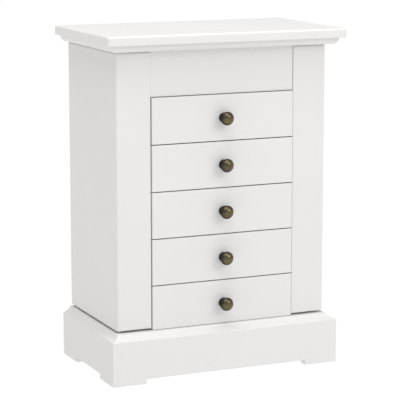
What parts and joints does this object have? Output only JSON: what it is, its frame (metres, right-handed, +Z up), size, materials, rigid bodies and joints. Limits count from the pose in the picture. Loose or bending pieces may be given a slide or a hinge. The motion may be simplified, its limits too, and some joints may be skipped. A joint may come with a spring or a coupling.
{
  "type": "jewelry armoire",
  "caption": "Table-top jewelry armoire in white with a lift-up mirrored lid, a column of small drawers, wrap-round side doors with necklace hooks, and a plinth base.",
  "frame": {"origin": "floor plane, in the middle of the whole object's footprint box (lid front edge to hinge barrels)", "axes": "+Z up, -Y the front with the drawers, +X to the right seen from the front"},
  "size_m": [0.297, 0.179, 0.4],
  "materials": {
    "white_lacquer": "satin white lacquer on board",
    "bare_board": "thin white stain on fine board",
    "velvet": "short pile velvet",
    "antique_bronze": "antiqued bronze, worn bright on the crown",
    "hinge_brass": "lacquered brass",
    "catch_plastic": "moulded",
    "strike_steel": "zinc plated",
    "mirror": "silvered glass"
  },
  "bodies": {
    "carcass": {"plinth_front": "white_lacquer", "plinth_sides": "white_lacquer", "plinth_back": "white_lacquer", "corner_blocks": "bare_board", "base_board": "white_lacquer", "partition_left": "white_lacquer", "partition_right": "white_lacquer", "back_panel": "white_lacquer", "fascia": "white_lacquer", "drawer_dividers": "bare_board", "side_caps": "white_lacquer", "tray_floor": "bare_board", "tray_dividers": "bare_board", "ring_rolls": "velvet", "door_catches": "catch_plastic", "door_hinge_fixed_leaves": "hinge_brass", "lid_hinge_fixed_leaves": "hinge_brass", "carcass_hinge_screws": "hinge_brass"},
    "lid": {"lid_board": "white_lacquer", "lid_moulding_front": "white_lacquer", "lid_moulding_sides": "white_lacquer", "lid_rear_rail": "white_lacquer", "lid_mirror": "mirror", "lid_hinge_leaves": "hinge_brass", "lid_hinge_pins": "hinge_brass", "lid_hinge_screws": "hinge_brass"},
    "door_left": {"door_left_panel": "white_lacquer", "door_left_stile": "white_lacquer", "door_left_hooks": "antique_bronze", "door_left_strike": "strike_steel", "door_left_hinge_leaves": "hinge_brass", "door_left_hinge_pins": "hinge_brass", "door_left_hinge_screws": "hinge_brass"},
    "door_right": {"door_right_panel": "white_lacquer", "door_right_stile": "white_lacquer", "door_right_hooks": "antique_bronze", "door_right_strike": "strike_steel", "door_right_hinge_leaves": "hinge_brass", "door_right_hinge_pins": "hinge_brass", "door_right_hinge_screws": "hinge_brass"},
    "drawer_1": {"drawer_1_front": "white_lacquer", "drawer_1_walls": "bare_board", "drawer_1_bottom": "bare_board", "drawer_1_knob": "antique_bronze"},
    "drawer_2": {"drawer_2_front": "white_lacquer", "drawer_2_walls": "bare_board", "drawer_2_bottom": "bare_board", "drawer_2_knob": "antique_bronze"},
    "drawer_3": {"drawer_3_front": "white_lacquer", "drawer_3_walls": "bare_board", "drawer_3_bottom": "bare_board", "drawer_3_knob": "antique_bronze"},
    "drawer_4": {"drawer_4_front": "white_lacquer", "drawer_4_walls": "bare_board", "drawer_4_bottom": "bare_board", "drawer_4_knob": "antique_bronze"},
    "drawer_5": {"drawer_5_front": "white_lacquer", "drawer_5_walls": "bare_board", "drawer_5_bottom": "bare_board", "drawer_5_knob": "antique_bronze"}
  },
  "joints": [
    {"name": "lid_hinge", "type": "hinge", "parent": "carcass", "child": "lid", "pos_m": [0, 0.08725, 0.38035], "axis": [-1, 0, 0], "range_deg": [0, 95]},
    {"name": "door_left_hinge", "type": "hinge", "parent": "carcass", "child": "door_left", "pos_m": [-0.1227, 0.08725, 0.221], "axis": [0, 0, -1], "range_deg": [0, 105]},
    {"name": "door_right_hinge", "type": "hinge", "parent": "carcass", "child": "door_right", "pos_m": [0.1227, 0.08725, 0.221], "axis": [0, 0, 1], "range_deg": [0, 105]},
    {"name": "drawer_1_slide", "type": "slide", "parent": "carcass", "child": "drawer_1", "axis": [0, -1, 0], "range_m": [0, 0.105]},
    {"name": "drawer_2_slide", "type": "slide", "parent": "carcass", "child": "drawer_2", "axis": [0, -1, 0], "range_m": [0, 0.105]},
    {"name": "drawer_3_slide", "type": "slide", "parent": "carcass", "child": "drawer_3", "axis": [0, -1, 0], "range_m": [0, 0.105]},
    {"name": "drawer_4_slide", "type": "slide", "parent": "carcass", "child": "drawer_4", "axis": [0, -1, 0], "range_m": [0, 0.105]},
    {"name": "drawer_5_slide", "type": "slide", "parent": "carcass", "child": "drawer_5", "axis": [0, -1, 0], "range_m": [0, 0.105]}
  ]
}
